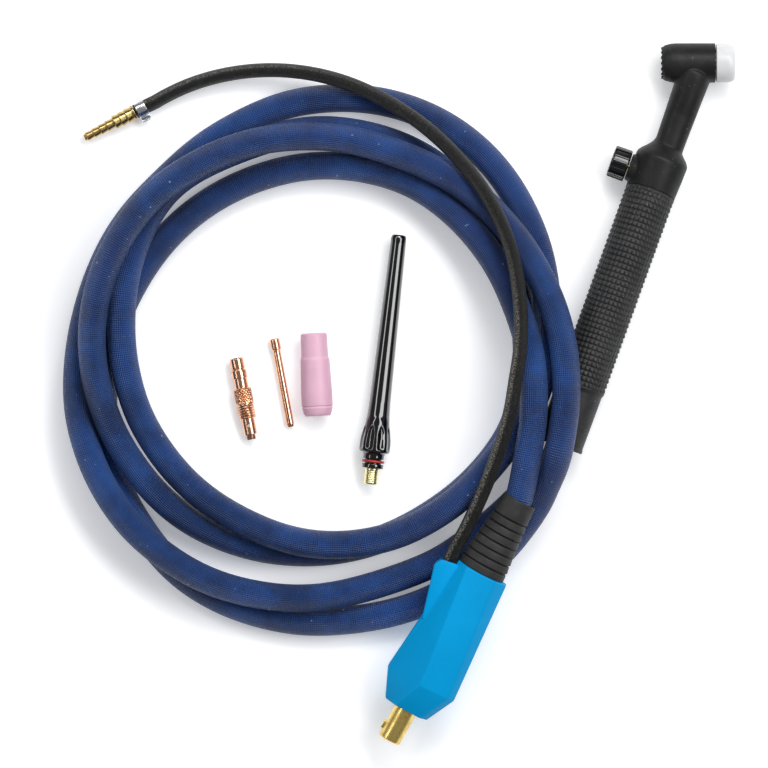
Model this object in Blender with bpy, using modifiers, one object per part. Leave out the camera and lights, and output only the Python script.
"""Air-cooled TIG torch with a manual gas valve, coiled on the bench.

The torch head, valve and handle lie at the right of the coil. The power hose
(gas and current in one hose) makes four turns and ends in a bayonet plug with
a two-part housing; a thin gas hose leaves the same housing and ends in a
stepped barb fitting. The loose front-end parts lie inside the coil: collet
body, collet, ceramic nozzle and long back cap.

Scene units are metres, +Z up, bench top at Z = 0, origin at the bottom centre
of the whole lay. All sizes below are millimetres.
"""

import math

import bmesh
import bpy
import numpy as np
from mathutils import Matrix, Vector

for old_object in list(bpy.data.objects):
    bpy.data.objects.remove(old_object, do_unlink=True)

# ------------------------------------------------------------------ sizes
MM = 0.001
GAP = 0.3  # assembly gap between neighbouring pieces
BENCH_GAP = 0.05  # height at which everything lies above the bench

# power hose, conductor and gas hose
POWER_R = 7.9
POWER_BORE_R = 5.5
CONDUCTOR_R = 4.0
GAS_R = 4.0
GAS_BORE_R = 2.6
FERRULE_R = 8.95
HOSE_STEP = 6.0  # spacing of the points that settle under gravity

# torch: the handle axis lies flat, HANDLE_LEAN from the Y axis
TORCH_AT = (141.4, 112.8, 14.15)  # centre of the seam between body and grip
HANDLE_LEAN = math.radians(19.8)
GRIP_R = 14.1
GRIP_LENGTH = 116.0
TAIL_R = 13.1
TAIL_RIM_R = TAIL_R + 0.3
HANDLE_LENGTH = 151.3
HANDLE_BORE_R = 9.3
LEAD_END = 145.5  # where the straight hose inside the handle ends
HEAD_AT = (162.7, 184.7)  # centre of the head, plan
HEAD_R = 11.0
HEAD_BACK, HEAD_FRONT = -14.8, 14.7
CORE_R, CORE_BORE_R = 7.7, 4.6
NECK_OFFSET = 1.0
NECK_TUBE_R = 4.5
VALVE_FROM_SEAM = -9.0  # valve axis, along the handle axis
VALVE_BLOCK_R = 8.0
PACKING_NUT_R = 4.7
KNOB_R = 8.8
KNOB_INNER, KNOB_OUTER = 16.9, 26.3
ORING_SECTION_R = 0.75

# plug: it rests on the strands that pass under it, its nose a little lower
PLUG_TILT = math.radians(6.0)
PLUG_LEAN = math.radians(28.5)
PLUG_TIP_AT = (-4.8, -193.3, 23.0)
PLUG_LENGTHS = 0.9666  # factor on all lengths along the plug
PIN_R = 6.5
HOSE_START = 59.0  # along the plug axis, from the pin tip
BOOT_R = 13.9
BOOT_FRONT, BOOT_END = 112.1, 159.0

# end of the gas line
GAS_END_AT = (-143.3, 159.4, 5.6)  # centre of the ear clamp
GAS_END_WAY = (-0.8884, -0.4591, 0.0)  # direction in which the fitting points
GAS_SPLIT_AT = (-93.0, 180.0)  # where the gas hose is parted, plan

TO_ORIGIN = Matrix.Translation(Vector((-0.933, 0.206, -0.05)) * MM)


# --------------------------------------------------------------- collections
PIECES = bpy.data.collections.new("tig_torch")
CUTTERS = bpy.data.collections.new("cutters")
bpy.context.scene.collection.children.link(PIECES)
bpy.context.scene.collection.children.link(CUTTERS)


def material(name, rgb, roughness, metallic=0.0):
    made = bpy.data.materials.new(name)
    made.use_nodes = True
    shader = made.node_tree.nodes["Principled BSDF"]
    shader.inputs["Base Color"].default_value = (*rgb, 1.0)
    shader.inputs["Roughness"].default_value = roughness
    shader.inputs["Metallic"].default_value = metallic
    made.diffuse_color = (*rgb, 1.0)
    return made


BLACK_MOULD = material("black_moulding", (0.022, 0.022, 0.024), roughness=0.5)
KNURLED = material("knurled_grip", (0.02, 0.02, 0.021), roughness=0.6)
KNOB_BLACK = material("knob_black", (0.012, 0.012, 0.013), roughness=0.35)
PTFE = material("ptfe_white", (0.86, 0.87, 0.88), roughness=0.35)
BRASS = material("brass", (0.72, 0.5, 0.2), roughness=0.3, metallic=1.0)
COPPER = material("copper", (0.85, 0.5, 0.36), roughness=0.25, metallic=1.0)
STRAND = material("copper_strand", (0.75, 0.38, 0.22), roughness=0.45, metallic=1.0)
HOSE_BLUE = material("hose_blue", (0.022, 0.055, 0.2), roughness=0.5)
HOSE_BLACK = material("hose_black", (0.016, 0.016, 0.014), roughness=0.4)
BOOT_RUBBER = material("boot_rubber", (0.028, 0.028, 0.028), roughness=0.6)
HOUSING_BLUE = material("housing_blue", (0.01, 0.28, 0.65), roughness=0.35)
STEEL = material("steel", (0.62, 0.62, 0.64), roughness=0.28, metallic=1.0)
CERAMIC = material("ceramic_pink", (0.76, 0.46, 0.62), roughness=0.45)
CAP_BLACK = material("cap_black", (0.006, 0.006, 0.007), roughness=0.08)
ORING_RED = material("oring_red", (0.35, 0.02, 0.015), roughness=0.4)
ORING_BLACK = material("oring_black", (0.02, 0.02, 0.02), roughness=0.5)


# ------------------------------------------------------------------- helpers
# A shape made without a material is a cutter, taken away once it is used.
def place(name, data, where, coat):
    obj = bpy.data.objects.new(name, data)
    (PIECES if coat else CUTTERS).objects.link(obj)
    obj.hide_render = coat is None
    obj.matrix_world = where
    return obj


def frame(origin, along, side):
    """Local Z runs along, local X to the side; millimetres in, metres out."""
    z = Vector(along).normalized()
    x = Vector(side)
    x = (x - z * x.dot(z)).normalized()
    y = z.cross(x)
    matrix = Matrix((x, y, z)).transposed().to_4x4()
    matrix.translation = Vector(origin) * MM
    return matrix


def finished(obj, coat=None):
    """The evaluated shape as a plain mesh, welded, with its faces outwards."""
    bpy.context.view_layer.update()
    graph = bpy.context.evaluated_depsgraph_get()
    mesh = bpy.data.meshes.new_from_object(obj.evaluated_get(graph))
    shape = bmesh.new()
    shape.from_mesh(mesh)
    bmesh.ops.remove_doubles(shape, verts=shape.verts, dist=1e-7)
    bmesh.ops.recalc_face_normals(shape, faces=shape.faces)
    if shape.calc_volume(signed=True) < 0:
        bmesh.ops.reverse_faces(shape, faces=shape.faces)
    shape.to_mesh(mesh)
    shape.free()
    if obj.type == "CURVE":
        name = obj.name
        bpy.data.objects.remove(obj, do_unlink=True)
        obj = place(name, mesh, Matrix.Identity(4), coat)
    else:
        obj.modifiers.clear()
        old_mesh = obj.data
        obj.data = mesh
        bpy.data.meshes.remove(old_mesh)
    mesh.shade_smooth()
    mesh.set_sharp_from_angle(angle=math.radians(32))
    mesh.materials.clear()
    if coat:
        mesh.materials.append(coat)
    return obj


def turned(name, profile, where, coat=None, steps=24):
    """A turned piece: profile is (along axis, radius) going once round the section.

    An open profile starts and ends on the axis; a ring's profile is closed.
    """
    points = [(r * MM, 0.0, z * MM) for z, r in profile]
    edges = [(i, i + 1) for i in range(len(points) - 1)]
    if profile[0][1] > 1e-6:
        edges.append((len(points) - 1, 0))
    mesh = bpy.data.meshes.new(name)
    mesh.from_pydata(points, edges, [])
    obj = place(name, mesh, where, coat)
    spin = obj.modifiers.new("turn", "SCREW")
    spin.axis = "Z"
    spin.steps = spin.render_steps = steps
    spin.use_merge_vertices = True
    spin.merge_threshold = 0.00001
    area = sum(
        a[1] * b[0] - b[1] * a[0] for a, b in zip(profile, profile[1:] + profile[:1])
    )
    spin.use_normal_flip = area < 0
    return finished(obj, coat)


def ring(name, z0, z1, inner, outer, where, coat, steps=24):
    profile = [(z1, inner), (z1, outer), (z0, outer), (z0, inner)]
    return turned(name, profile, where, coat, steps)


def rod(name, z0, z1, radius, where, coat=None, steps=24):
    profile = [(z1, 0.0), (z1, radius), (z0, radius), (z0, 0.0)]
    return turned(name, profile, where, coat, steps)


def oring(name, z, radius, where, coat, steps):
    """A ring of six-sided section; radius is to the middle of the section."""
    profile = [
        (z + ORING_SECTION_R * math.sin(t), radius + ORING_SECTION_R * math.cos(t))
        for t in np.linspace(0, 2 * math.pi, 7)[:-1]
    ]
    return turned(name, profile, where, coat, steps)


def block(name, low, high, where, chamfer=0.0):
    """A box cutter between two local corners."""
    shape = bmesh.new()
    bmesh.ops.create_cube(shape, size=1.0)
    for vert in shape.verts:
        vert.co = Vector(
            [MM * (low[i] + (high[i] - low[i]) * (vert.co[i] + 0.5)) for i in range(3)]
        )
    mesh = bpy.data.meshes.new(name)
    shape.to_mesh(mesh)
    shape.free()
    obj = place(name, mesh, where, None)
    if chamfer:
        bevel = obj.modifiers.new("edges", "BEVEL")
        bevel.width = chamfer * MM
        bevel.segments = 1
    return finished(obj)


def loft(name, sections, where, coat=None):
    """A closed body through sections, lists of (x, y, z) with the same count of corners."""
    count = len(sections[0])
    shape = bmesh.new()
    rows = [[shape.verts.new(Vector(p) * MM) for p in section] for section in sections]
    for lower, upper in zip(rows, rows[1:]):
        for i in range(count):
            j = (i + 1) % count
            shape.faces.new((lower[i], lower[j], upper[j], upper[i]))
    shape.faces.new(rows[0][::-1])
    shape.faces.new(rows[-1])
    bmesh.ops.recalc_face_normals(shape, faces=shape.faces)
    mesh = bpy.data.meshes.new(name)
    shape.to_mesh(mesh)
    shape.free()
    return finished(place(name, mesh, where, coat), coat)


def cut(obj, *cutters, how="DIFFERENCE"):
    """Booleans applied one after another; the cutters are then taken away."""
    for cutter in cutters:
        step = obj.modifiers.new("cut", "BOOLEAN")
        step.operation = how
        step.object = cutter
        step.solver = "EXACT"
    coat = obj.data.materials[0] if obj.data.materials else None
    finished(obj, coat)
    for cutter in cutters:
        bpy.data.objects.remove(cutter, do_unlink=True)


def join(obj, *others):
    cut(obj, *others, how="UNION")


def tube(name, points, radius, coat, bevel, wall=0.0):
    """A hose or rope along the points, solid or with a wall and open ends."""
    curve = bpy.data.curves.new(name, "CURVE")
    curve.dimensions = "3D"
    curve.twist_mode = "Z_UP"
    line = curve.splines.new("POLY")
    line.points.add(len(points) - 1)
    for knot, (x, y, z) in zip(line.points, points):
        knot.co = (x * MM, y * MM, z * MM, 1.0)
    curve.bevel_depth = radius * MM
    curve.bevel_resolution = bevel
    curve.use_fill_caps = wall == 0.0
    obj = finished(place(name, curve, Matrix.Identity(4), coat), coat)
    if wall:
        shell = obj.modifiers.new("wall", "SOLIDIFY")
        shell.thickness = wall * MM
        shell.offset = -1.0
        finished(obj, coat)


# -------------------------------------------------------------------- frames
# Torch: Z towards the tail. Plug: Z towards the pin tip.
# Both have X to the right in plan and Y upwards.
TORCH_ALONG = Vector((-math.sin(HANDLE_LEAN), -math.cos(HANDLE_LEAN), 0))
TORCH_SIDE = Vector((math.cos(HANDLE_LEAN), -math.sin(HANDLE_LEAN), 0))
TORCH = frame(TORCH_AT, TORCH_ALONG, TORCH_SIDE)
PLUG_ALONG = Vector(
    (
        -math.sin(PLUG_LEAN) * math.cos(PLUG_TILT),
        -math.cos(PLUG_LEAN) * math.cos(PLUG_TILT),
        -math.sin(PLUG_TILT),
    )
)
PLUG_SIDE = Vector((math.cos(PLUG_LEAN), -math.sin(PLUG_LEAN), 0))
PLUG_UP = PLUG_ALONG.cross(PLUG_SIDE)
PLUG = frame(PLUG_TIP_AT, PLUG_ALONG, PLUG_SIDE)


def on_torch(along, side=0.0):
    return tuple((TORCH @ (Vector((side, 0.0, along)) * MM)) / MM)


def on_plug(back, side=0.0):
    """back is the distance from the pin tip towards the boot."""
    return tuple((PLUG @ (Vector((side, 0.0, -back * PLUG_LENGTHS)) * MM)) / MM)


# Head: Z along the head towards the nozzle side, Y up.
HEAD = frame((*HEAD_AT, TORCH_AT[2]), (1, 0, 0), (0, 1, 0))
NECK = frame(on_torch(0, NECK_OFFSET), TORCH_ALONG, TORCH_SIDE)
# Valve: Z outwards through the knob, Y up.
VALVE = frame(on_torch(VALVE_FROM_SEAM), -TORCH_SIDE, TORCH_ALONG)
# Plug pieces: Z from the pin tip towards the boot, X to the left, Y up.
PLUG_FRAME = frame(PLUG_TIP_AT, -PLUG_ALONG, -PLUG_SIDE)
PLUG_BACK = PLUG_FRAME @ Matrix.Diagonal((1, 1, PLUG_LENGTHS, 1))
# Gas line end: Z along the fitting, Y up.
GAS_END = frame(GAS_END_AT, GAS_END_WAY, (-GAS_END_WAY[1], GAS_END_WAY[0], 0))

# ------------------------------------------------------- the lay of the hoses
# Control points in plan, with a starting height that says which turn lies
# over which: (x, y, z). The hoses then settle from there. The power hose runs
# from the boot to the torch, anticlockwise seen from above.
POWER_COIL = [
    # up the right side, over the top and down the left
    (70.2, -53.5, 40), (72, -46, 41.5), (73.5, -37, 43), (75, -26, 44), (76.2, -14, 44),
    (77, 1, 44), (76, 19, 43), (74, 29, 42), (66, 50, 38), (59, 68, 34),
    (39, 95, 26), (8, 119, 12), (-43, 129, 8), (-80, 121, 8), (-108, 107, 8),
    (-133, 85, 8), (-147, 64, 8), (-153, 54, 8), (-160, 36, 8), (-164, 13, 8),
    (-166, -9, 8), (-164, -32, 8), (-157, -54, 8), (-147, -71, 8), (-137, -86, 8),
    # from the lower left round to the upper left
    (-125, -100, 8), (-111, -110, 8), (-98, -117, 8), (-81, -123, 8),
    (-64, -127, 8), (-51, -129, 8), (-33, -128, 8), (-9, -125, 8), (7, -121, 8),
    (24, -114, 8), (41, -103, 8), (52, -94, 8), (62, -84, 9), (80, -58, 20),
    (88, -39, 31), (93, -19, 38), (95, -5, 39), (95, 7, 38), (94, 23, 36),
    (91, 37, 33), (85, 56, 31), (79, 67, 30), (72, 81, 30), (63, 92, 30),
    (53, 103, 30), (47, 109, 30), (29, 122, 30), (1, 134, 28), (-27, 143, 26),
    (-55, 144, 26), (-78, 142, 26), (-105, 132, 26), (-126, 120, 26),
    # a whole turn from the upper left
    (-141, 108, 30), (-151, 94, 30), (-161, 78, 30), (-164, 70, 30),
    (-170, 51, 30), (-171, 41, 30), (-172, 30, 30), (-171, 17, 30),
    (-169, 4, 30), (-167, -6, 28), (-163, -16, 28), (-156, -28, 26),
    (-149, -39, 24), (-139, -52, 20), (-127, -65, 14), (-116, -73, 12),
    (-98, -81, 8), (-81, -87, 8), (-58, -90, 8), (-33, -89, 8), (-7, -82, 8),
    (6, -76, 8), (21, -67, 8), (39, -54, 8), (55, -36, 8), (65, -23, 8),
    (70, -9, 8), (73, 8, 8), (74, 24, 8), (72, 41, 8), (69, 61, 8), (57, 80, 8),
    (45, 103, 8), (31, 122, 8), (15, 134, 8), (-10, 144, 8), (-49, 149, 8),
    (-80, 140, 8), (-107, 130, 8), (-130, 116, 10),
    # another whole turn
    (-143, 94, 16), (-150, 78, 22), (-154, 58, 24), (-155, 41, 24),
    (-155, 27, 24), (-151, 5, 22), (-146, -12, 20), (-137, -28, 18),
    (-127, -42, 18), (-116, -53, 20), (-102, -64, 22), (-87, -72, 24),
    (-72, -79, 24), (-57, -84, 24), (-32, -86, 24), (-10, -83, 24), (2, -80, 24),
    (16, -72, 24), (28, -65, 24), (42, -54, 24), (48, -45, 24), (58, -34, 24),
    (69, -20, 22), (77, -4, 18), (83, 13, 12), (85, 30, 8), (85, 47, 8),
    (83, 60, 8), (81, 78, 8), (74, 96, 8), (70, 105, 8), (60, 122, 8),
    (42, 141, 8), (16, 157, 8), (-16, 166, 8), (-36, 166, 8), (-59, 164, 8),
    (-75, 158, 8), (-89, 151, 8), (-102, 143, 8), (-114, 134, 8), (-124, 123, 8),
    # down the left side and across to the handle
    (-150, 100, 8), (-167, 69, 8), (-176, 39, 8), (-179, 24, 8), (-180, 7, 8),
    (-180, -5, 8), (-178, -17, 8), (-175, -28, 8), (-169, -45, 10),
    (-165, -52, 12), (-156, -67, 18), (-146, -79, 20), (-137, -86, 22),
    (-125, -95, 22), (-112, -103, 20), (-93, -110, 14), (-67, -115, 8),
    (-52, -116, 8), (-27, -112, 8), (-8, -106, 8), (11, -100, 8), (27, -93, 8),
    (41, -84, 8), (55, -72, 8), (69, -59, 8), (81, -45, 11),
]
GAS_LINE = [
    (36, -81, 35), (43, -66, 37), (50, -50, 40), (56, -34, 43), (61, -21, 47),
    (64, -7, 52), (67, 7, 54), (69, 19, 55), (70, 36, 55), (68, 57, 52),
    (66, 74, 50), (62, 88, 48), (58, 97, 46), (52, 108, 46), (47, 116, 46),
    (38, 127, 44), (33, 133, 40), (20, 146, 32), (4, 158, 24), (-10, 166, 24),
    (-17, 170, 22), (-36, 177, 12), (-56, 181, 6), (-74, 182, 6), (-93, 180, 6),
    (-107, 177, 6), (-121, 172, 6), (-133, 166, 6),
]
# Stations in the plug: distance back from the pin tip; the gas hose also has
# its place to the side.
POWER_IN_PLUG = (HOSE_START, 85, 110, 135, 152, 158)
GAS_IN_PLUG = [(86, -12.9), (91, -13.6), (98, -15.4), (106, -17.5), (113, -19.3)]
# How many settling points are held still at the start and end of each hose
POWER_HELD_START, POWER_HELD_END = 17, 3
GAS_HELD_START, GAS_HELD_END = 6, 4

# Rigid pieces the hoses rest on or pass under, as tapered rods:
# end, end, radius at the first, radius at the second
BOOT_SOLID = (on_plug(112), on_plug(BOOT_END), BOOT_R, 9.8)
RIGID_PIECES = [
    BOOT_SOLID,
    (on_plug(20), on_plug(112), 15.8, 15.2),
    (on_torch(-20), on_torch(GRIP_LENGTH), 14.3, 14.3),
    (on_torch(GRIP_LENGTH), on_torch(151), 14.3, 14.9),
]

# Tuning of the settling
SPLINE_SAMPLES = 16  # per stretch between two control points
FIRST_SMOOTHINGS = 6  # before the hose starts to settle
FIRST_SMOOTH_SHARE = 0.5
SINK = 0.4  # drop in the first round; it fades towards nothing
LATE_FROM = 0.8  # share of the rounds after which the hose sinks no more
PLAN_RETURN = 0.08  # share of the way back to the drawn plan, each round
PLAN_SMOOTH = 0.25  # smoothing in plan, as a share of that in height
NEAR_SMOOTH = 0.15  # smoothing over direct neighbours
FAR_SPAN = 4  # points to either side for the wider smoothing
FAR_SMOOTH, FAR_SMOOTH_LATE = 0.25, 0.1
PUSH_PASSES = 2  # passes of pushing apart in each round
PUSH_EASE = np.array([0.35, 0.35, 1.0])  # how freely x, y, z give way
SELF_PUSH = 1.3  # overshoot where the hose pushes itself apart
SELF_SKIP = 3.2  # radii along the hose within which it can't touch itself
END_MARGIN = 3  # free points next to each held end that ignore rigid pieces


def stretch(path, start, stop, step):
    """The path between two distances along it, evenly spaced at about the step.

    A stop of zero or less is counted back from the end of the path.
    """
    run = np.concatenate([[0], np.cumsum(np.linalg.norm(np.diff(path, axis=0), axis=1))])
    stop = run[-1] + stop if stop <= 0 else stop
    count = max(2, int(round((stop - start) / step)) + 1)
    at = np.linspace(start, stop, count)
    return np.stack([np.interp(at, run, path[:, k]) for k in range(3)], axis=1)


def blend(first, last, start, stop, at):
    """The straight mix of two points given at start and stop."""
    return ((stop - at) * first + (at - start) * last) / (stop - start)


def through(points):
    """A smooth line through the points (centripetal spline), HOSE_STEP apart."""
    p = np.array(points, float)
    p = np.vstack([2 * p[0] - p[1], p, 2 * p[-1] - p[-2]])
    knots = np.sqrt(np.linalg.norm(np.diff(p, axis=0), axis=1))
    knots = np.concatenate([[0], np.cumsum(knots)])
    line = []
    for i in range(1, len(p) - 2):
        before, start, stop, after = knots[i - 1 : i + 3]
        for at in np.linspace(start, stop, SPLINE_SAMPLES, endpoint=False):
            lead = blend(p[i - 1], p[i], before, start, at)
            middle = blend(p[i], p[i + 1], start, stop, at)
            trail = blend(p[i + 1], p[i + 2], stop, after, at)
            early = blend(lead, middle, before, stop, at)
            late = blend(middle, trail, start, after, at)
            line.append(blend(early, late, start, stop, at))
    line.append(p[-2])
    return stretch(np.array(line), 0, 0, HOSE_STEP)


def smoothed(path, held):
    for _ in range(FIRST_SMOOTHINGS):
        middle = 0.5 * (path[:-2] + path[2:])
        eased = path.copy()
        eased[1:-1] += FIRST_SMOOTH_SHARE * (middle - path[1:-1])
        eased[held] = path[held]
        path = eased
    return path


def pairs(path, other):
    """Offsets and distances from every point of the path to every other point."""
    offset = path[:, None, :] - other[None, :, :]
    return offset, np.sqrt((offset * offset).sum(-1))


def push_off_itself(path, apart, reach):
    """Moves points of one hose that are closer than reach away from each other."""
    offset, dist = pairs(path, path)
    i, j = np.nonzero(apart & (dist < reach))
    move, count = np.zeros_like(path), np.zeros(len(path))
    if len(i):
        away = offset[i, j] / dist[i, j, None] * PUSH_EASE
        push = (reach - dist[i, j])[:, None] * away * 0.5
        np.add.at(move, i, push)
        np.add.at(move, j, -push)
        np.add.at(count, i, 1)
        np.add.at(count, j, 1)
    path += move / np.maximum(count, 1)[:, None] * SELF_PUSH


def push_off_hose(path, other, reach):
    """Moves each point off the point of the other hose it overlaps most."""
    offset, dist = pairs(path, other)
    short = np.maximum(reach - dist, 0)
    row = np.nonzero(short.max(1) > 0)[0]
    col = short.argmax(1)[row]
    path[row] += (
        offset[row, col] / dist[row, col, None] * PUSH_EASE * short[row, col, None]
    )


def push_off_solid(path, solid, radius, gap, roam):
    """Moves the roaming points out of a tapered rod."""
    start, stop = np.array(solid[0], float), np.array(solid[1], float)
    start_r, stop_r = solid[2:]
    axis = stop - start
    t = np.clip(((path - start) @ axis) / (axis @ axis), 0, 1)
    offset = path - (start + t[:, None] * axis)
    dist = np.maximum(np.linalg.norm(offset, axis=1), 1e-6)
    short = start_r + (stop_r - start_r) * t + radius + gap - dist
    hit = (short > 0) & roam
    path[hit] += offset[hit] / dist[hit, None] * PUSH_EASE * short[hit, None]


def settle(path, held, radius, gap, solids, rounds, other=None, other_r=0.0):
    """Lets a hose sink on to the bench, on to itself and on to its neighbours."""
    drawn, p, fixed = path.copy(), path.copy(), path[held].copy()
    index = np.arange(len(p))
    first, last = index[~held][[0, -1]]
    roam = (index > first + END_MARGIN) & (index < last - END_MARGIN)
    skip = int(SELF_SKIP * radius / HOSE_STEP) + 1
    apart = (index[None, :] - index[:, None]) > skip
    for k in range(rounds):
        late = k > rounds * LATE_FROM
        if not late:
            p[:, 2] -= SINK * (1 - k / rounds)
        p[:, :2] += PLAN_RETURN * (drawn[:, :2] - p[:, :2])
        far_share = FAR_SMOOTH_LATE if late else FAR_SMOOTH
        for span, share in ((1, NEAR_SMOOTH), (FAR_SPAN, far_share)):
            pull = 0.5 * (p[: -2 * span] + p[2 * span :]) - p[span:-span]
            pull[:, :2] *= PLAN_SMOOTH
            p[span:-span] += share * pull
        for _ in range(PUSH_PASSES):
            push_off_itself(p, apart, 2 * radius + gap)
            if other is not None:
                push_off_hose(p, other, radius + other_r + gap)
            for solid in solids:
                push_off_solid(p, solid, radius, gap, roam)
            p[:, 2] = np.maximum(p[:, 2], radius + BENCH_GAP)
            p[held] = fixed
    return p


def laid(points, held_start, held_end, **settling):
    """The settled hose through the points, its ends held still."""
    path = through(points)
    held = np.zeros(len(path), bool)
    held[:held_start] = True
    held[-held_end:] = True
    return settle(smoothed(path, held), held, **settling)


def lay_power_hose():
    points = [on_plug(back) for back in POWER_IN_PLUG] + POWER_COIL
    points += [on_torch(158), on_torch(149.5)]
    return laid(
        points, POWER_HELD_START, POWER_HELD_END,
        radius=POWER_R, gap=1.2, solids=RIGID_PIECES, rounds=420,
    )


def lay_gas_hose(power_path):
    end, way = np.array(GAS_END_AT), np.array(GAS_END_WAY)
    points = [on_plug(*station) for station in GAS_IN_PLUG] + GAS_LINE
    points += [tuple(end - way * 14), tuple(end), tuple(end + way * 4)]
    return laid(
        points, GAS_HELD_START, GAS_HELD_END,
        radius=GAS_R + 0.5, gap=0.8, solids=[BOOT_SOLID], rounds=400,
        other=power_path, other_r=POWER_R,
    )


# ---------------------------------------------------------------- torch head
def build_head():
    turned(
        "head_core",
        [
            (HEAD_BACK + 0.4, CORE_BORE_R), (HEAD_BACK + 0.4, CORE_R), (13.6, CORE_R),
            (13.6, 5.8), (21.0, 5.8), (21.0, CORE_BORE_R),
        ],
        HEAD, BRASS,
    )
    turned(
        "cup_gasket",
        [
            (15.1, 6.1), (15.1, 9.8), (15.9, 10.8), (23.6, 10.8), (25.9, 9.0),
            (25.9, 6.1),
        ],
        HEAD, PTFE,
    )
    ring("neck_tube", -65.8, -22.9, 3.0, NECK_TUBE_R, NECK, COPPER, steps=16)


def build_insulation():
    """One moulding over head, neck and valve block, with a collar for the valve."""
    cover = turned(
        "head_insulation",
        [
            (HEAD_BACK, 0), (HEAD_BACK, 10.2), (HEAD_BACK + 1.0, HEAD_R),
            (HEAD_FRONT - 0.6, HEAD_R), (HEAD_FRONT, HEAD_R - 0.6), (HEAD_FRONT, 0),
        ],
        HEAD, BLACK_MOULD, steps=28,
    )
    neck = turned(
        "neck_cover",
        [
            (-75.5, 0), (-75.5, 6.5), (-73.5, 9.0), (-68, 9.3), (-30, 8.4),
            (-18, 8.4), (-18, 0),
        ],
        NECK, BLACK_MOULD, steps=20,
    )
    shoulder = turned(
        "valve_shoulder",
        [
            (-31, 0), (-31, 6.0), (-27.6, 8.6), (-24.6, 10.4), (-21.2, 13.0),
            (-17.5, GRIP_R), (0, GRIP_R), (0, 11.2), (12, 11.2), (12, 0),
        ],
        TORCH, BLACK_MOULD, steps=26,
    )
    collar = turned(
        "valve_collar",
        [(6, 0), (6, 8.6), (13.0, 8.4), (15.4, 8.0), (16.2, 7.2), (16.2, 0)],
        VALVE, BLACK_MOULD, steps=22,
    )
    join(cover, neck, shoulder, collar)
    cut(
        cover,
        rod("head_bore", -20, 20, CORE_R + GAP, HEAD),
        rod("neck_bore", -74, -20, NECK_TUBE_R + GAP, NECK, steps=16),
        rod("valve_pocket", -22.6, 15, VALVE_BLOCK_R + GAP, TORCH),
        rod("collar_bore", 4, 20, PACKING_NUT_R + GAP, VALVE, steps=16),
    )


# --------------------------------------------------------------------- valve
def build_valve():
    valve_block = turned(
        "valve_block",
        [
            (-22.3, 2.0), (-22.3, VALVE_BLOCK_R), (11.7, VALVE_BLOCK_R), (11.7, 5.0),
            (21.5, 5.0), (21.5, 2.0),
        ],
        TORCH, BRASS, steps=20,
    )
    cut(valve_block, rod("stem_bore", -0.6, 12, 3.2, VALVE, steps=16))
    ring("valve_packing_nut", 8.4, 13.0, 1.65, PACKING_NUT_R, VALVE, BRASS, steps=16)
    oring("valve_oring", 6.0, 2.33, VALVE, ORING_BLACK, steps=14)
    turned(
        "valve_stem",
        [(-1.6, 0), (-1.6, 0.3), (0.4, 1.5), (22.0, 1.5), (22.0, 0)],
        VALVE, BRASS, steps=14,
    )


FLUTES = 12
FLUTE_DEPTH = 0.75
FLUTE_WAVE = (0.0, 1.0, 1.0, 0.0, 0.0)  # share of the depth at each corner


def fluted(z, radius):
    """One section of the knob: flat-bottomed flutes round its edge."""
    corners = FLUTES * len(FLUTE_WAVE)
    section = []
    for i in range(corners):
        turn = 2 * math.pi * i / corners
        r = radius - FLUTE_DEPTH * FLUTE_WAVE[i % len(FLUTE_WAVE)]
        section.append((r * math.cos(turn), r * math.sin(turn), z))
    return section


def build_knob():
    knob = loft(
        "valve_knob",
        [
            fluted(KNOB_INNER, KNOB_R - 0.6), fluted(KNOB_INNER + 0.6, KNOB_R),
            fluted(KNOB_OUTER - 0.7, KNOB_R), fluted(KNOB_OUTER, KNOB_R - 0.8),
        ],
        VALVE, KNOB_BLACK,
    )
    cut(knob, rod("knob_bore", KNOB_INNER - 2, 22.4, 1.85, VALVE, steps=14))


# ------------------------------------------------------ handle and hose joint
def build_handle():
    turned(
        "handle_grip",
        [
            (0.3, 11.5), (0.3, GRIP_R - 0.5), (0.9, GRIP_R), (GRIP_LENGTH, GRIP_R),
            (GRIP_LENGTH + 2.0, TAIL_R + 0.2), (149.4, TAIL_R), (149.8, TAIL_RIM_R),
            (HANDLE_LENGTH, TAIL_RIM_R), (HANDLE_LENGTH, HANDLE_BORE_R + 0.6),
            (HANDLE_LENGTH - 2.4, HANDLE_BORE_R), (13.5, HANDLE_BORE_R), (13.5, 11.5),
        ],
        TORCH, KNURLED,
    )


def build_torch_joint():
    nut = rod("torch_hose_nut", 12.1, 26.5, 8.6, TORCH, BRASS, steps=6)
    cut(
        nut,
        rod("nut_thread", 10, 24.4, 5.35, TORCH, steps=16),
        rod("nut_throat", 10, 30, 3.95, TORCH, steps=16),
    )
    turned(
        "torch_hose_nipple",
        [
            (22.2, 2.2), (22.2, 5.0), (24.0, 5.0), (24.0, 3.6), (29.5, 3.6), (30.0, 4.6),
            (34.5, 5.2), (34.5, 4.4), (40.0, 5.2), (40.0, 4.4), (45.5, 5.0), (45.5, 2.2),
        ],
        TORCH, BRASS, steps=12,
    )
    ring("torch_hose_ferrule", 29.5, 44.0, POWER_R + GAP, FERRULE_R, TORCH, COPPER, steps=20)
    ring("power_hose_lead", 28.5, LEAD_END, POWER_BORE_R, POWER_R, TORCH, HOSE_BLUE, steps=16)
    rod("power_conductor_lead", 46.3, LEAD_END, CONDUCTOR_R, TORCH, STRAND, steps=12)


# ---------------------------------------------------------------- power hose
RING_STEP = 27.0  # spacing of the rings of the finished power hose
# Straight length of hose in the plug, a trifle short of the last held point
BOOT_RUN = (POWER_HELD_START - 1) * HOSE_STEP * 0.9995


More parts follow.
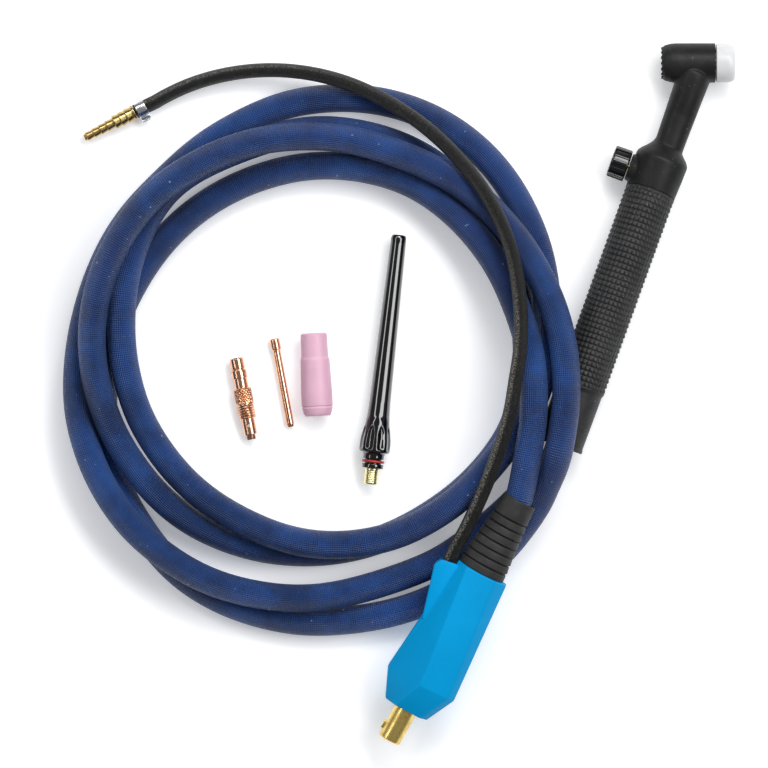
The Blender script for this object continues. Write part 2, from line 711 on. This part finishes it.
def build_power_hose(path):
    rings = np.vstack(
        [
            stretch(path, 0, BOOT_RUN, RING_STEP)[:-1],
            stretch(path, BOOT_RUN, 0, RING_STEP),
        ]
    )
    tube("power_hose", rings, POWER_R, HOSE_BLUE, bevel=2, wall=POWER_R - POWER_BORE_R)
    # The conductor starts one ring later, and both its ends are drawn in a little.
    core = rings[1:].copy()
    core[0] += (core[1] - core[0]) * 0.035
    core[-1] -= (core[-1] - core[-2]) * 0.02
    tube("power_conductor", core, CONDUCTOR_R, STRAND, bevel=0)


# ---------------------------------------------------------------------- plug
def crosswise(x, z, turn):
    """A frame at (x, z) of the plug, turned across it."""
    at = Matrix.Translation(Vector((x, 0, z * PLUG_LENGTHS)) * MM)
    return PLUG_FRAME @ at @ turn


def upright(x, z):
    """A frame at (x, z) of the plug with its Z along the plug's Y."""
    return crosswise(x, z, Matrix.Rotation(-math.pi / 2, 4, "X"))


def upright_hole(name, x, z, low, high, radius):
    return rod(name, low, high, radius, upright(x, z), steps=14)


def build_pin():
    pin = turned(
        "plug_pin",
        [
            (0, 0), (0, 5.8), (0.7, PIN_R), (29.5, PIN_R), (29.5, 8.3), (34.3, 8.3),
            (34.3, 7.0), (50, 7.0), (50, 5.0), (56.4, 5.0), (56.4, 0),
        ],
        PLUG_BACK, BRASS,
    )
    join(pin, block("bayonet_lug", (5.6, -2.0, 4.6), (7.7, 2.0, 9.3), PLUG_BACK))
    leftwards = crosswise(0, 47, Matrix.Rotation(math.pi / 2, 4, "Y"))
    side_port = rod("side_port", 0, 12, 1.8, leftwards, steps=12)
    cut(
        pin,
        rod("gas_way", 42, 60, 2.2, PLUG_BACK, steps=12),
        side_port,
        upright_hole("tip_port", -1.7, 17.2, 3.5, 9, 0.75),
    )


def build_plug_joint():
    turned(
        "plug_hose_nipple",
        [
            (50.3, 5.3), (50.3, 7.0), (57.6, 7.0), (57.6, 4.2), (62, 4.2), (66, 4.85),
            (66, 4.2), (72, 4.85), (72, 4.2), (78, 4.85), (78, 4.2), (84, 4.6), (84, 2.6),
            (57.0, 2.6), (57.0, 5.3),
        ],
        PLUG_BACK, BRASS, steps=12,
    )
    ring(
        "plug_hose_ferrule", 60.0, 76.0, POWER_R + GAP, FERRULE_R, PLUG_BACK, COPPER, steps=20
    )


# Gas nipple from the pin's side port: distance back from the tip, side
NIPPLE_BEND = [
    (47.0, -7.3), (47.0, -9.4), (47.7, -11.0), (49.2, -12.0), (52, -12.4),
    (68, -12.6), (79, -12.6),
]


def build_gas_joint(gas_rings):
    """The bent nipple that enters the gas hose, and the clamp round the hose."""
    start = gas_rings[0]
    way = (gas_rings[1] - start) / np.linalg.norm(gas_rings[1] - start)
    points = [on_plug(*station) for station in NIPPLE_BEND]
    points += [tuple(start - way * 2), tuple(start + way * 3)]
    tube("gas_nipple", points, 2.2, BRASS, bevel=2, wall=0.8)
    clamp_at = frame(start + way * 5.0, way, PLUG_UP)
    ring("gas_inner_clamp", -1.6, 1.6, 4.25, 4.7, clamp_at, STEEL, steps=20)


BOOT_GROOVES = 7
BOOT_GROOVE_START, BOOT_GROOVE_PITCH = 117.0, 5.0
BOOT_TAPER = 0.0985  # loss of radius per length


def build_boot():
    profile = [
        (104.5, POWER_R + GAP), (104.5, 10.5), (108.5, 10.5), (108.5, 9.6),
        (BOOT_FRONT, 9.6), (BOOT_FRONT, BOOT_R),
    ]
    for i in range(BOOT_GROOVES):
        z = BOOT_GROOVE_START + BOOT_GROOVE_PITCH * i
        radius = BOOT_R - (z - BOOT_FRONT) * BOOT_TAPER
        profile += [(z - 0.9, radius), (z, radius - 1.1), (z + 0.4, radius)]
    profile += [
        (150.5, 10.0), (158.4, 9.9), (BOOT_END, 9.5), (BOOT_END, POWER_R + 1.0),
        (BOOT_END - 3.0, POWER_R + GAP),
    ]
    turned("strain_relief_boot", profile, PLUG_BACK, BOOT_RUBBER, steps=16)


# ------------------------------------------------------------------- housing
# Stations along the plug, and the upper half's corners (x, y) at each of them
NOSE_Z, SHOULDER_Z, REAR_Z = 20.7, 38.3, 111.8
NOSE = [(13.1, 2.0), (6.5, 8.8), (-9.0, 8.6), (-13.0, 2.0)]
SHOULDER = [(20.5, 2.5), (-0.6, 16.5), (-17.8, 9.0), (-21.3, 3.0)]
REAR = [(13.8, 4.0), (8.3, 14.0), (-9.5, 13.2), (-16.1, 4.0)]
LOWER_DEPTH = 0.93  # depth of the lower half, as a share of the upper's height
HOUSING_WALL = 2.2
REAR_WALL = 3.0
# Bulge on the left where the gas hose leaves, and the room in it: (x, z)
BULGE = [
    (16.4, 72.0), (24.8, 103.0), (22.6, 107.5), (15.0, 109.0), (7.0, 109.0), (7.0, 72.0),
]
BULGE_ROOM = [
    (15.3, 76.0), (23.2, 102.0), (21.0, 105.6), (14.5, 106.8), (6.0, 106.8), (6.0, 77.0),
]
BULGE_HALF, BULGE_ROOM_HALF = 8.0, 6.2
# Screws from below: x, z, height of the head's seat, height of the tip
SCREWS = [(-14.2, 46.0, -7.0, 6.0), (-12.2, 97.0, -7.0, 6.0), (12.6, 37.5, -4.2, 3.4)]
SCREW_HOLE_R = 1.7


def whole(half):
    """The full outline: the upper half and its shallower mirror image."""
    return half + [(x, -LOWER_DEPTH * y) for x, y in half[::-1]]


def inset(corners, wall):
    """A convex outline moved in by a wall's thickness."""
    lines = []
    centre = np.mean(corners, axis=0)
    for i in range(len(corners)):
        a, b = np.array(corners[i]), np.array(corners[(i + 1) % len(corners)])
        normal = np.array((b[1] - a[1], a[0] - b[0])) / np.linalg.norm(b - a)
        if normal @ (a - centre) < 0:
            normal = -normal
        lines.append((normal, normal @ a - wall))
    moved = []
    for i in range(len(corners)):
        normals, offsets = zip(lines[i - 1], lines[i])
        moved.append(tuple(np.linalg.solve(np.array(normals), np.array(offsets))))
    return moved


def between(first, last, t):
    return [tuple(np.array(p) * (1 - t) + np.array(q) * t) for p, q in zip(first, last)]


def at_z(outline, z):
    return [(x, y, z) for x, y in outline]


def slab(name, outline, half_height):
    """A cutter with the (x, z) outline, as far above the seam as below it."""
    sections = [[(x, y, z) for x, z in outline] for y in (-half_height, half_height)]
    return loft(name, sections, PLUG_BACK)


def housing_cavity():
    """The room inside the housing, less the screw bosses."""
    front = between(NOSE, SHOULDER, 0.14)
    rear = between(REAR, SHOULDER, REAR_WALL / (REAR_Z - SHOULDER_Z))
    cavity = loft(
        "cavity",
        [
            at_z(inset(whole(front), HOUSING_WALL), NOSE_Z + 2.5),
            at_z(inset(whole(SHOULDER), HOUSING_WALL), SHOULDER_Z + 0.6),
            at_z(inset(whole(rear), HOUSING_WALL), REAR_Z - REAR_WALL),
        ],
        PLUG_BACK,
    )
    join(cavity, slab("bulge_room", BULGE_ROOM, BULGE_ROOM_HALF))
    cut(cavity, *[upright_hole("boss", x, z, -30, 30, 3.85) for x, z, _, _ in SCREWS])
    return cavity


def housing_body(name):
    """The whole housing, hollow, before it is divided at the seam."""
    body = loft(
        name,
        [
            at_z(whole(NOSE), NOSE_Z), at_z(whole(SHOULDER), SHOULDER_Z),
            at_z(whole(REAR), REAR_Z),
        ],
        PLUG_BACK, HOUSING_BLUE,
    )
    join(body, slab("bulge", BULGE, BULGE_HALF))
    exit_at, exit_to = [Vector(on_plug(*station)) for station in GAS_IN_PLUG[2:4]]
    cut(
        body,
        housing_cavity(),
        rod("pin_hole", 10, 30, PIN_R + GAP, PLUG_BACK),
        rod("boot_hole", 100, 120, 9.9, PLUG_BACK),
        rod("gas_hole", 0, 16, 5.6, frame(exit_at, exit_to - exit_at, PLUG_UP), steps=16),
    )
    return body


def build_housing():
    upper = housing_body("housing_upper")
    above = block("above_seam", (-40, GAP / 2, 0), (40, 40, 140), PLUG_BACK)
    cut(upper, above, how="INTERSECT")
    cut(
        upper,
        *[upright_hole("pilot", x, z, -1, tip + 0.6, SCREW_HOLE_R) for x, z, _, tip in SCREWS],
    )
    lower = housing_body("housing_lower")
    below = block("below_seam", (-40, -40, 0), (40, -GAP / 2, 140), PLUG_BACK)
    cut(lower, below, how="INTERSECT")
    cut(
        lower,
        *[upright_hole("clear_hole", x, z, -30, 1, SCREW_HOLE_R) for x, z, _, _ in SCREWS],
        *[upright_hole("head_recess", x, z, -30, seat, 3.1) for x, z, seat, _ in SCREWS],
    )


def build_housing_screws():
    for i, (x, z, seat, tip) in enumerate(SCREWS):
        turned(
            f"housing_screw_{i + 1}",
            [
                (tip, 0), (tip, 1.2), (tip - 0.6, 1.4), (seat - 0.25, 1.4),
                (seat - 0.25, 2.8), (seat - 1.7, 2.8), (seat - 2.1, 2.2), (seat - 2.1, 0),
            ],
            upright(x, z), STEEL, steps=14,
        )


# ------------------------------------------------------------------ gas line
SPLIT_GAP = 0.6  # each part of the gas hose stops this far from the split


def gas_hose_parts(path):
    """Ring centres of the two parts of the gas hose."""
    split = int(np.argmin(np.linalg.norm(path[:, :2] - np.array(GAS_SPLIT_AT), axis=1)))
    main = stretch(path[: split + 1], 0, -SPLIT_GAP, 13.0)
    held_run = (GAS_HELD_END - 1) * HOSE_STEP
    end = np.vstack(
        [
            stretch(path[split:], SPLIT_GAP, -held_run, 14.0)[:-1],
            path[[-GAS_HELD_END, -1]],
        ]
    )
    return main, end


def build_gas_hose(main, end):
    wall = GAS_R - GAS_BORE_R
    tube("gas_hose", main, GAS_R, HOSE_BLACK, bevel=2, wall=wall)
    tube("gas_hose_end", end, GAS_R, HOSE_BLACK, bevel=2, wall=wall)


def build_gas_end():
    clamp = ring("gas_hose_clamp", -2.8, 2.8, 4.3, 5.2, GAS_END, STEEL)
    ear = block("clamp_ear", (4.75, -2.0, -2.4), (7.5, 2.0, 2.4), GAS_END, chamfer=0.5)
    join(clamp, ear)
    fitting = [(-8.0, 1.3), (-8.0, 2.0), (-6.5, 2.3), (4.3, 2.3), (4.3, 4.1), (5.6, 4.1)]
    for i in range(3):  # large barbs
        fitting += [(6.0 + 3.8 * i, 3.3), (9.2 + 3.8 * i, 4.1 - 0.15 * i)]
    fitting += [(17.4, 2.7)]
    for i in range(4):  # small barbs
        fitting += [(18.2 + 4.2 * i, 2.5 - 0.15 * i), (21.6 + 4.2 * i, 3.0 - 0.18 * i)]
    fitting += [(35.0, 2.0), (35.8, 1.8), (35.8, 1.3)]
    turned("gas_fitting", fitting, GAS_END, BRASS, steps=14)


# --------------------------------------------------------------- loose parts
COLLET_BODY_R = 5.15
COLLET_R = 2.85
NOZZLE_R = 8.75
CAP_R = 8.6


def lying(x, y, dx, dy, radius):
    """A frame for a piece lying on the bench, Z along it, X up."""
    return frame((x, y, radius + BENCH_GAP), (dx, dy, 0), (0, 0, 1))


def build_collet_body():
    where = lying(-90.3, 19.9, 0.1875, -0.982, COLLET_BODY_R)
    collet_body = turned(
        "collet_body",
        [
            (0, 1.6), (0, 3.5), (0.6, 3.95), (6.8, 3.95), (6.8, 4.45), (11.8, 4.45),
            (11.8, 3.9), (17.5, 3.9), (17.5, 4.8), (18.0, COLLET_BODY_R),
            (34.0, COLLET_BODY_R), (34.5, 4.8), (34.5, 3.75), (43.6, 3.75),
            (43.6, 2.4), (46.4, 2.4), (46.4, 1.6),
        ],
        where, COPPER, steps=16,
    )
    across = Matrix.Translation(Vector((0, 0, 39)) * MM) @ Matrix.Rotation(math.pi / 2, 4, "Y")
    cut(collet_body, rod("gas_cross_hole", -8, 8, 0.9, where @ across, steps=10))


def build_collet():
    where = lying(-69.0, 30.7, 0.1848, -0.9828, COLLET_R)
    collet = turned(
        "collet",
        [
            (0, 1.25), (0, 2.5), (0.5, COLLET_R), (6.4, COLLET_R), (6.4, 2.05),
            (48.8, 2.05), (50.3, 1.6), (50.3, 1.25),
        ],
        where, COPPER, steps=14,
    )
    cut(collet, block("slit", (-0.3, -3, 30), (0.3, 0, 52), where))


def build_nozzle():
    turned(
        "nozzle",
        [
            (0.0, 4.8), (0.0, 6.6), (0.9, 7.4), (13.8, 7.55), (14.6, 8.15),
            (34.0, NOZZLE_R), (40.6, 8.7), (41.2, 8.25), (41.9, 8.25), (42.4, 8.5),
            (45.4, 7.6), (46.5, 6.9), (46.5, 6.2), (26.0, 6.2), (22.5, 4.8),
        ],
        lying(-46.9, 33.9, 0.0505, -0.9987, NOZZLE_R), CERAMIC, steps=22,
    )


def build_back_cap():
    where = lying(0.9, 88.8, -0.114, -0.9935, CAP_R)
    turned(
        "back_cap",
        [
            (0, 0), (0, 3.0), (0.5, 3.9), (1.8, 4.3), (36, 4.9), (94, 5.9), (104, 6.4),
            (112, 7.9), (117, CAP_R), (121.6, CAP_R), (123.2, 7.4), (124, 5.9),
            (126.2, 5.9), (126.2, 4.6), (129.0, 4.6), (129.0, 6.0), (131.4, 6.0),
            (131.4, 3.75), (117.7, 3.75), (117.7, 2.0), (6, 2.0), (6, 0),
        ],
        where, CAP_BLACK, steps=20,
    )
    oring("back_cap_oring", 127.6, 5.7, where, ORING_RED, steps=18)
    turned(
        "back_cap_insert",
        [
            (118.2, 1.9), (118.2, 3.4), (131.7, 3.4), (131.7, 4.1), (139.9, 4.1),
            (140.5, 3.5), (140.5, 1.9),
        ],
        where, BRASS, steps=14,
    )


# ------------------------------------------------------------------ assembly
power_path = lay_power_hose()
gas_main, gas_end = gas_hose_parts(lay_gas_hose(power_path))

build_head()
build_insulation()
build_valve()
build_knob()
build_handle()
build_torch_joint()
build_power_hose(power_path)
build_pin()
build_plug_joint()
build_gas_joint(gas_main)
build_boot()
build_housing()
build_housing_screws()
build_gas_hose(gas_main, gas_end)
build_gas_end()
build_collet_body()
build_collet()
build_nozzle()
build_back_cap()

bpy.context.view_layer.update()
for piece in PIECES.objects:
    piece.matrix_world = TO_ORIGIN @ piece.matrix_world
